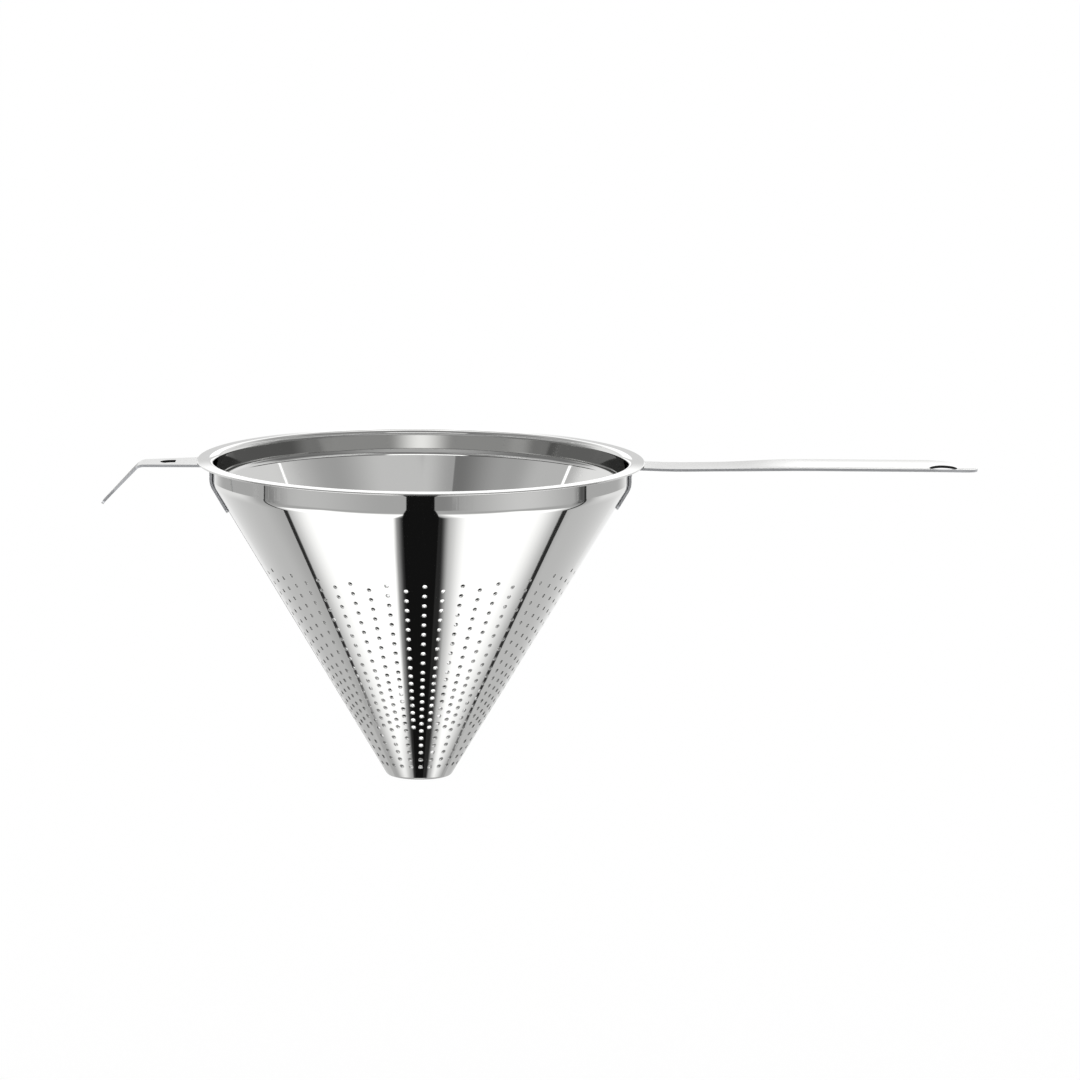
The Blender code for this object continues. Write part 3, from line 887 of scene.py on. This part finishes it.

# %% [markdown]
# A card needs a brightness and soft edges, because a lit sheet of paper never ends in a hard line
# when it is seen in steel. The card is a small grid with its own left-right and up-down position
# from 0 to 1, and the material fades it out towards each side. The same function lays cards on the
# table and hangs them overhead: it only asks where a position on the card is in the room. A card
# gives little light to a ray that the steel has thrown on more than twice: this is painted shade,
# which darkens the deep reflections in the narrow cone. That is why the holes look dark.

# %% Make a card
CARD_STEPS = 24
SHADE_AFTER = 2.0
SHADE_SHARE = 0.25
ONE_THROW = 1.5
cards = []


def shade_deep_throws(nodes, links, brightness, strength):
    """Give a light its brightness, but little of it once it was thrown on by steel more than twice:
    painted shade deep in the cone.
    """
    path = nodes.new("ShaderNodeLightPath")
    loss = nodes.new("ShaderNodeMapRange")
    loss.inputs["From Min"].default_value = SHADE_AFTER
    loss.inputs["From Max"].default_value = SHADE_AFTER + 1.0
    loss.inputs["To Min"].default_value = brightness
    loss.inputs["To Max"].default_value = brightness * SHADE_SHARE
    links.new(path.outputs["Glossy Depth"], loss.inputs["Value"])
    links.new(loss.outputs["Result"], strength)


def glow(name, brightness, fades, once):
    """A material that glows evenly and fades out at the card's four sides (left, right, low, high)."""
    material = bpy.data.materials.new(name)
    material.use_nodes = True
    nodes, links = material.node_tree.nodes, material.node_tree.links
    nodes.remove(nodes["Principled BSDF"])
    position = nodes.new("ShaderNodeSeparateXYZ")
    links.new(nodes.new("ShaderNodeUVMap").outputs[0], position.inputs[0])
    shares = []
    for axis, ends in (("X", fades[:2]), ("Y", fades[2:])):
        for side, fade in enumerate(ends):
            if fade == 0.0:
                continue
            ramp = nodes.new("ShaderNodeMapRange")
            ramp.interpolation_type = "SMOOTHSTEP"
            ramp.inputs["From Min"].default_value = 1.0 if side else 0.0
            ramp.inputs["From Max"].default_value = 1.0 - fade if side else fade
            links.new(position.outputs[axis], ramp.inputs["Value"])
            shares.append(ramp.outputs["Result"])
    if once:
        # Only rays that the steel has thrown on a single time see the card
        first = nodes.new("ShaderNodeMath")
        first.operation = "LESS_THAN"
        first.inputs[1].default_value = ONE_THROW
        links.new(nodes.new("ShaderNodeLightPath").outputs["Glossy Depth"], first.inputs[0])
        shares.append(first.outputs[0])
    light = nodes.new("ShaderNodeEmission")
    # Painted shade: the card's light drops for rays that the steel threw on more than twice
    shade_deep_throws(nodes, links, brightness, light.inputs["Strength"])
    if not shares:
        links.new(light.outputs[0], nodes["Material Output"].inputs["Surface"])
        return material
    share = shares[0]
    for factor in shares[1:]:
        product = nodes.new("ShaderNodeMath")
        product.operation = "MULTIPLY"
        links.new(share, product.inputs[0])
        links.new(factor, product.inputs[1])
        share = product.outputs[0]
    mix = nodes.new("ShaderNodeMixShader")
    links.new(share, mix.inputs["Fac"])
    links.new(nodes.new("ShaderNodeBsdfTransparent").outputs[0], mix.inputs[1])
    links.new(light.outputs[0], mix.inputs[2])
    links.new(mix.outputs[0], nodes["Material Output"].inputs["Surface"])
    return material


def card(name, place_at, brightness, fades, once=False):
    """A card that only the steel sees; place_at turns its own two positions into a place."""
    shares = [step / CARD_STEPS for step in range(CARD_STEPS + 1)]
    row = CARD_STEPS + 1
    verts = [place_at(across, up) for up in shares for across in shares]
    faces = [
        (first, first + 1, first + row + 1, first + row)
        for line in range(CARD_STEPS) for first in range(line * row, line * row + CARD_STEPS)
    ]
    mesh = bpy.data.meshes.new(name)
    mesh.from_pydata(verts, [], faces)
    layer = mesh.uv_layers.new(name="UVMap")
    for loop in mesh.loops:
        layer.data[loop.index].uv = (shares[loop.vertex_index % row], shares[loop.vertex_index // row])
    mesh.materials.append(glow(name, brightness, fades, once))
    piece = bpy.data.objects.new(name, mesh)
    bpy.context.scene.collection.objects.link(piece)
    piece.visible_camera = False
    piece.visible_diffuse = False
    piece.visible_shadow = False
    cards.append(piece)


# %% Cards on the table, overhead and over the mouth
LAYER = 0.001


def laid(layer, near_left, near_right, far_right, far_left):
    """Place a four-cornered card on the table; layers keep overlapping cards apart."""
    def place_at(across, up):
        near = [a + (b - a) * across for a, b in zip(near_left, near_right)]
        far = [a + (b - a) * across for a, b in zip(far_left, far_right)]
        return (*(a + (b - a) * up for a, b in zip(near, far)), TABLE_HEIGHT + layer * LAYER)
    return place_at


def ring_laid(layer, azimuths, distances):
    """Place a card on the table as part of a ring; azimuth 0 is towards the camera, 90 is +X."""
    def place_at(across, out):
        azimuth = math.radians(azimuths[0] + (azimuths[1] - azimuths[0]) * across)
        distance = distances[0] * (distances[1] / distances[0]) ** out
        height = TABLE_HEIGHT + layer * LAYER
        return (distance * math.sin(azimuth), -distance * math.cos(azimuth), height)
    return place_at


ROOM_RADIUS = 6.0
ROOM_LAYER = 0.05


def hung(layer, azimuths, elevations, rise=0.0):
    """Hang a card in the upper room, by azimuth and elevation; its second side hangs higher by rise."""
    def place_at(across, up):
        azimuth = math.radians(azimuths[0] + (azimuths[1] - azimuths[0]) * across)
        lift = (elevations[1] - elevations[0]) * up + rise * across
        elevation = math.radians(elevations[0] + lift)
        reach = ROOM_RADIUS - layer * ROOM_LAYER
        return (
            reach * math.cos(elevation) * math.sin(azimuth),
            -reach * math.cos(elevation) * math.cos(azimuth),
            reach * math.sin(elevation),
        )
    return place_at


BEHIND = 0.5


def stood(sides, heights):
    """Stand a card upright close behind the strainer, between two X and two Z positions."""
    def place_at(across, up):
        x = sides[0] + (sides[1] - sides[0]) * across
        return (x, BEHIND, heights[0] + (heights[1] - heights[0]) * up)
    return place_at


CAMERA_PLACE = Vector((0.05636, -2.9613, 0.5932))
AIR_HEIGHT = 1.5


def thrown(layer, turns, heights):
    """Place a card in the air over the mouth, where the cone's far wall throws the eye's rays.

    The wall is given by turns about the axis, 0 at the back, and by heights above the tip."""
    def place_at(across, up):
        turn = math.radians(turns[0] + (turns[1] - turns[0]) * across)
        height = heights[0] + (heights[1] - heights[0]) * up
        around = Vector((math.sin(turn), math.cos(turn), 0.0))
        radius = TIP_RADIUS + height * math.tan(HALF_ANGLE)
        spot = radius * around + Vector((0.0, 0.0, height))
        inward = Vector((0.0, 0.0, math.sin(HALF_ANGLE))) - math.cos(HALF_ANGLE) * around
        ray = (spot - CAMERA_PLACE).normalized().reflect(inward)
        return spot + ray * ((AIR_HEIGHT - layer * LAYER - height) / ray.z)
    return place_at

# %% [markdown]
# The table cards, from below to above. The steel sees the far part of the table in the collar and
# the near part in the cone, so the far part stays grey with two soft glows while the near part
# carries the two white sweeps. At the sides the far part is shaded again, so that the collar stands
# out from the bright cone below it. Right below the bowl the table is greyer, which dulls the tip.
# The black flag in front widens away from the bowl.

# %% Lay the cards on the table
card("far_table", ring_laid(1, (-180.0, 180.0), (0.05, 9.0)), 0.5, (0.0, 0.0, 0.0, 0.0))
card("near_left", ring_laid(1.5, (-205.0, -97.0), (0.3, 9.0)), 0.64, (0.0, 0.2, 0.05, 0.0))
card("near_right", ring_laid(1.5, (105.0, 205.0), (0.3, 9.0)), 0.64, (0.1, 0.0, 0.05, 0.0))
card("back_left", ring_laid(2, (-205.0, -97.0), (0.5, 9.0)), 0.98, (0.0, 0.2, 0.45, 0.0))
card("back_right", ring_laid(2, (105.0, 205.0), (0.5, 9.0)), 0.98, (0.2, 0.0, 0.45, 0.0))
card("left_glow", ring_laid(3, (-92.0, -15.0), (0.9, 7.0)), 0.66, (0.35, 0.6, 0.2, 0.0))
card("right_glow", ring_laid(3, (18.0, 100.0), (0.9, 7.0)), 0.78, (0.5, 0.5, 0.2, 0.0))
card("front_shade", ring_laid(3, (8.0, 30.0), (1.4, 7.0)), 0.3, (0.0, 0.8, 0.3, 0.0))
card("left_line_shade", ring_laid(3, (-93.0, -76.0), (0.7, 7.0)), 0.3, (0.0, 0.8, 0.3, 0.0))
card("right_line_shade", ring_laid(3, (92.0, 102.0), (0.7, 7.0)), 0.12, (0.7, 0.0, 0.3, 0.0))
card("left_outline", ring_laid(3, (-179.5, -168.0), (0.9, 9.0)), 0.03, (0.05, 0.3, 0.1, 0.0))
card("left_collar_shade", ring_laid(4, (-160.0, -98.0), (2.4, 9.0)), 0.5, (0.4, 0.1, 0.1, 0.0))
card("right_collar_shade", ring_laid(4, (100.0, 160.0), (2.4, 9.0)), 0.52, (0.1, 0.4, 0.1, 0.0))
card("left_sweep", laid(4, (-0.075, 0.075), (-0.075, -0.75), (-0.68, -0.5), (-0.68, 0.1)), 1.5,
     (0.24, 0.3, 0.03, 0.15))
card("right_sweep", laid(4, (0.08, -0.75), (0.08, 0.09), (0.68, 0.19), (0.68, -0.5)), 1.5,
     (0.3, 0.25, 0.16, 0.15))
card("tip_shade", ring_laid(4.5, (-180.0, 180.0), (0.05, 0.18)), 0.5, (0.0, 0.0, 0.0, 0.3))
card("flag_margin", laid(5, (-0.083, -0.07), (0.11, -0.07), (0.098, -0.5), (-0.09, -0.5)), 0.028,
     (0.16, 0.16, 0.0, 0.1))
card("flag", laid(6, (-0.04, -0.08), (0.045, -0.08), (0.455, -2.95), (-0.36, -2.95)), 0.008,
     (0.04, 0.04, 0.0, 0.0))
card("far_flag", laid(6, (-0.36, -2.95), (0.455, -2.95), (0.9, -6.5), (-0.8, -6.5)), 0.008,
     (0.03, 0.03, 0.0, 0.0))
card("left_line", laid(7, (-0.26, 0.039), (-0.26, 0.069), (-3.4, 0.206), (-3.4, 0.140)), 0.035,
     (0.3, 0.1, 0.02, 0.0))
card("right_line", laid(7, (0.24, 0.114), (0.24, 0.078), (3.4, 0.655), (3.4, 0.79)), 0.035,
     (0.1, 0.3, 0.02, 0.0))
print("cards on the table:", len(cards))

# %% [markdown]
# The bowl's inside looks up. It shows a dim room with a lighter middle in front and two dark stripes
# that rise towards it, a soft box that hangs over the table a little to the right, a small bright
# one behind, and a thin bright tube on each side. Flange and handle lie almost flat, so they show the
# bright sky low at the back with a greyer band in it, and the hook's tongue shows a grey strip at the
# horizon. Two grey cards close behind the strips tone down only the hook and the handle's neck.

# %% Hang the cards
card("dim_room", hung(0, (-125.0, 125.0), (0.0, 40.0)), 0.22, (0.15, 0.15, 0.0, 0.5))
card("ceiling", hung(0, (-180.0, 180.0), (28.0, 90.0)), 0.45, (0.0, 0.0, 0.3, 0.0))
card("front_room", hung(1, (-66.0, 66.0), (0.0, 38.0)), 0.5, (0.45, 0.45, 0.0, 0.3))
card("front_ceiling", hung(1.5, (-62.0, 45.0), (32.0, 44.0)), 0.3, (0.2, 0.2, 0.3, 0.2))
card("back_sky", hung(1, (145.0, 215.0), (0.0, 34.0)), 1.4, (0.2, 0.2, 0.0, 0.2))
card("back_band", hung(2, (145.0, 215.0), (5.5, 11.5)), 0.75, (0.2, 0.2, 0.25, 0.25))
card("horizon", hung(3, (178.0, 198.0), (-3.2, 2.5)), 0.5, (0.2, 0.2, 0.0, 0.3))
card("left_stripe", hung(2, (-118.0, 14.0), (7.0, 13.0), 27.0), 0.2, (0.1, 0.2, 0.3, 0.3))
card("right_stripe", hung(2.5, (118.0, -26.0), (7.0, 13.5), 29.5), 0.15, (0.1, 0.2, 0.3, 0.3))
card("soft_box", hung(3, (-24.5, 66.0), (42.0, 60.0)), 0.7, (0.25, 0.4, 0.2, 0.0))
card("box_edge", hung(4, (-62.0, -24.5), (42.0, 60.0)), 0.22, (0.9, 0.03, 0.2, 0.0))
card("left_wall", hung(3, (-118.0, -62.0), (18.0, 46.0)), 0.62, (0.2, 0.4, 0.4, 0.3))
card("right_wall", hung(3, (90.0, 150.0), (12.0, 42.0)), 0.85, (0.4, 0.1, 0.3, 0.3))
card("left_tube", hung(5, (-107.2, -104.6), (30.6, 34.2)), 1.8, (0.3, 0.3, 0.1, 0.1))
card("right_tube", hung(5, (101.4, 103.8), (33.0, 36.6)), 1.5, (0.3, 0.3, 0.1, 0.1))
card("hook_card", stood((-0.24, -0.137), (0.14, 0.5)), 0.93, (0.1, 0.1, 0.05, 0.2))
card("neck_card", stood((0.118, 0.205), (0.08, 0.5)), 0.9, (0.05, 0.45, 0.1, 0.2))
card("roof", hung(7, (-180.0, 180.0), (54.3, 90.0)), 0.3, (0.0, 0.0, 0.03, 0.0))
card("back_box", hung(9, (133.0, 229.0), (49.0, 58.0)), 1.5, (0.5, 0.5, 0.2, 0.1))
card("wall_light", hung(8, (125.0, 235.0), (60.0, 80.0)), 1.7, (0.3, 0.3, 0.15, 0.15))
print("cards up to here:", len(cards))

# %% [markdown]
# A hole in front shows a spot of the cone's far wall, and that wall throws the eye's ray up over
# the mouth. A dark card hangs right there and makes the holes look dark, with a bright strip in its
# middle for the holes of the black stripe. Rays that the steel has thrown on twice don't see them.

# %% Cards over the mouth
WALL_HEIGHTS = (0.003, 0.09)
card("hole_shade", thrown(0, (-60.0, 60.0), WALL_HEIGHTS), 0.03, (0.05, 0.05, 0.0, 0.05), once=True)
card("hole_strip", thrown(1, (-12.0, 13.0), WALL_HEIGHTS), 2.0, (0.1, 0.1, 0.0, 0.05), once=True)
print("all cards:", len(cards))

# %% [markdown]
# ## The camera
#
# The rim's ellipse in the photograph is flat and even, so it was taken from about three metres, from
# a little above, with a long lens. The camera aims between cone and handle, so that the strainer sits
# in the middle of the frame, and it is rolled by half a degree, as the rim is.

# %% Camera
CAMERA_TARGET = Vector((0.05636, 0.0, 0.11295))
CAMERA_ROLL = math.radians(0.474)
CAMERA_LENS = 211.9
SENSOR = 36.0

camera_data = bpy.data.cameras.new("camera")
camera_data.lens = CAMERA_LENS
camera_data.sensor_width = SENSOR
camera = bpy.data.objects.new("camera", camera_data)
bpy.context.scene.collection.objects.link(camera)
aim = (CAMERA_TARGET - CAMERA_PLACE).to_track_quat("-Z", "Y").to_matrix().to_4x4()
camera.matrix_world = Matrix.Translation(CAMERA_PLACE) @ aim @ Matrix.Rotation(CAMERA_ROLL, 4, "Z")
bpy.context.scene.camera = camera
print("camera at", tuple(round(value, 3) for value in CAMERA_PLACE), "with a lens of", CAMERA_LENS, "mm")

# %% [markdown]
# ## The world
#
# A white world is the simplest even light, and it gives the photograph's white background as well.
# Its strength is 1, so white is just white, and the Standard view keeps it so.

# %% World
world = bpy.data.worlds.new("white_room")
bpy.context.scene.world = world
world.use_nodes = True
background = world.node_tree.nodes["Background"]
background.inputs["Color"].default_value = (1.0, 1.0, 1.0, 1.0)
# Painted shade: the world too gives little light to rays that the steel threw on more than twice
shade_deep_throws(world.node_tree.nodes, world.node_tree.links, 1.0, background.inputs["Strength"])

bpy.context.scene.view_settings.view_transform = "Standard"
print("world:", world.name)
